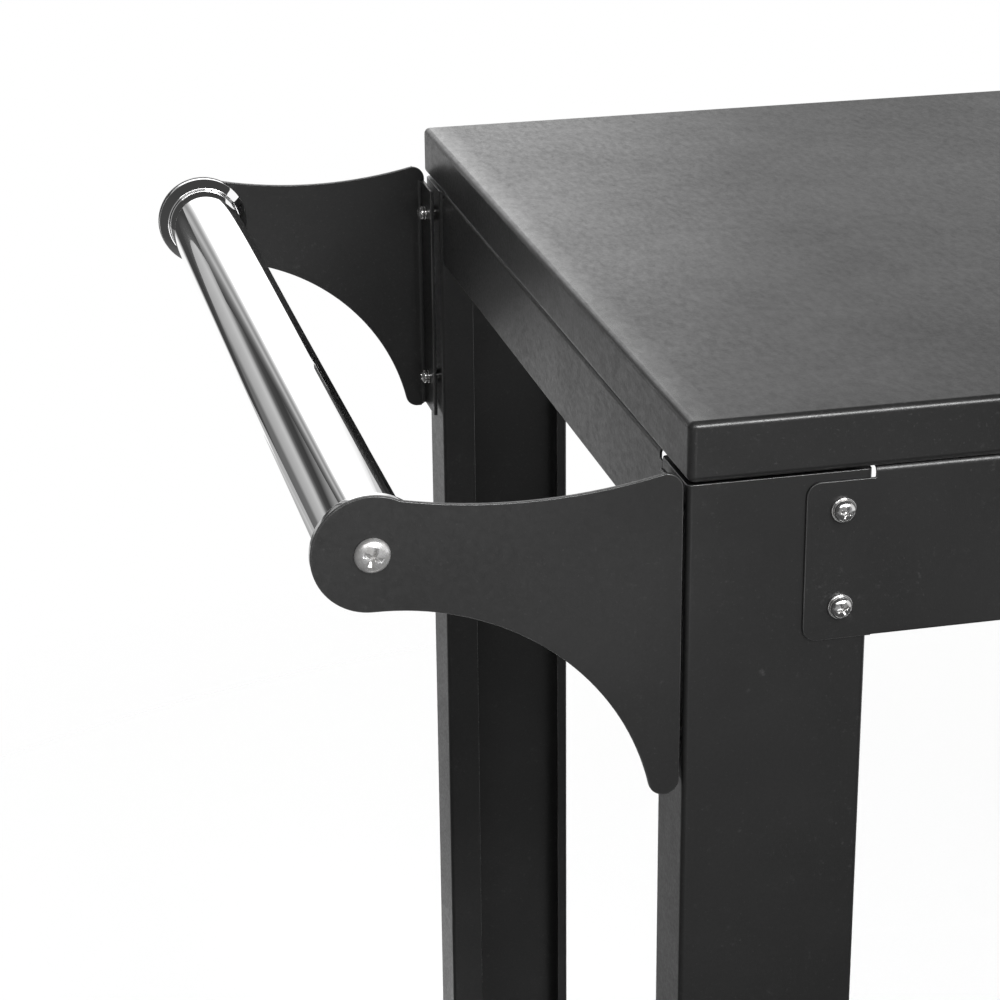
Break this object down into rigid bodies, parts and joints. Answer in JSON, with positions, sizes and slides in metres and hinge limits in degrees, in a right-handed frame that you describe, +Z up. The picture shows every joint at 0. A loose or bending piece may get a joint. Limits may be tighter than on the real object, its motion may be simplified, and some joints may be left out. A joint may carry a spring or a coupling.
{
  "type": "grill cart",
  "caption": "Outdoor grill cart of folded, powder-coated steel: a pan worktop on folded legs, a lower shelf, a tube push handle on shaped brackets, and wheels under the far end.",
  "frame": {"origin": "on the floor, under the middle of the whole cart from the handle brackets' round ends to the wheels", "axes": "+X along the cart away from the handle, -Y to the front, +Z up"},
  "size_m": [1.212, 0.6186, 0.864],
  "materials": {
    "black_powder_coat": "semi-gloss fine-texture black powder coat",
    "chrome": "bright chrome plate",
    "bright_zinc": "bright zinc plate",
    "black_plastic": "moulded, fine satin grain",
    "tyre_rubber": "matt solid rubber",
    "white_nylon": "satin moulded nylon"
  },
  "bodies": {
    "cart": {"top_sheet": "black_powder_coat", "top_stiffeners": "black_powder_coat", "top_screws": "bright_zinc", "top_nuts": "bright_zinc", "leg_front_left": "black_powder_coat", "leg_back_left": "black_powder_coat", "leg_front_right": "black_powder_coat", "leg_back_right": "black_powder_coat", "apron_front": "black_powder_coat", "apron_back": "black_powder_coat", "apron_screws": "bright_zinc", "apron_washers": "bright_zinc", "apron_nuts": "bright_zinc", "end_rail_left": "black_powder_coat", "end_rail_right": "black_powder_coat", "rail_screws": "bright_zinc", "rail_nuts": "bright_zinc", "handle_tube": "chrome", "handle_plugs": "black_plastic", "handle_cap_front": "chrome", "handle_cap_back": "chrome", "bracket_front": "black_powder_coat", "bracket_back": "black_powder_coat", "handle_screws": "bright_zinc", "bracket_spacers": "bright_zinc", "bracket_screws": "bright_zinc", "bracket_washers": "bright_zinc", "bracket_nuts": "bright_zinc", "lower_shelf": "black_powder_coat", "shelf_stiffeners": "black_powder_coat", "shelf_screws": "bright_zinc", "shelf_washers": "bright_zinc", "shelf_nuts": "bright_zinc", "axle": "bright_zinc", "axle_washers": "bright_zinc", "axle_nuts": "bright_zinc", "foot_front": "black_plastic", "foot_back": "black_plastic", "foot_screws": "bright_zinc"},
    "front_wheel": {"wheel_front": "black_plastic", "tyre_front": "tyre_rubber", "bush_front": "white_nylon", "wheel_cap_front": "black_plastic"},
    "back_wheel": {"wheel_back": "black_plastic", "tyre_back": "tyre_rubber", "bush_back": "white_nylon", "wheel_cap_back": "black_plastic"}
  },
  "joints": [
    {"name": "front_wheel_spin", "type": "hinge", "parent": "cart", "child": "front_wheel", "pos_m": [0.516, -0.2734, 0.09], "axis": [0, 1, 0], "continuous": true},
    {"name": "back_wheel_spin", "type": "hinge", "parent": "cart", "child": "back_wheel", "pos_m": [0.516, 0.2734, 0.09], "axis": [0, 1, 0], "continuous": true}
  ]
}
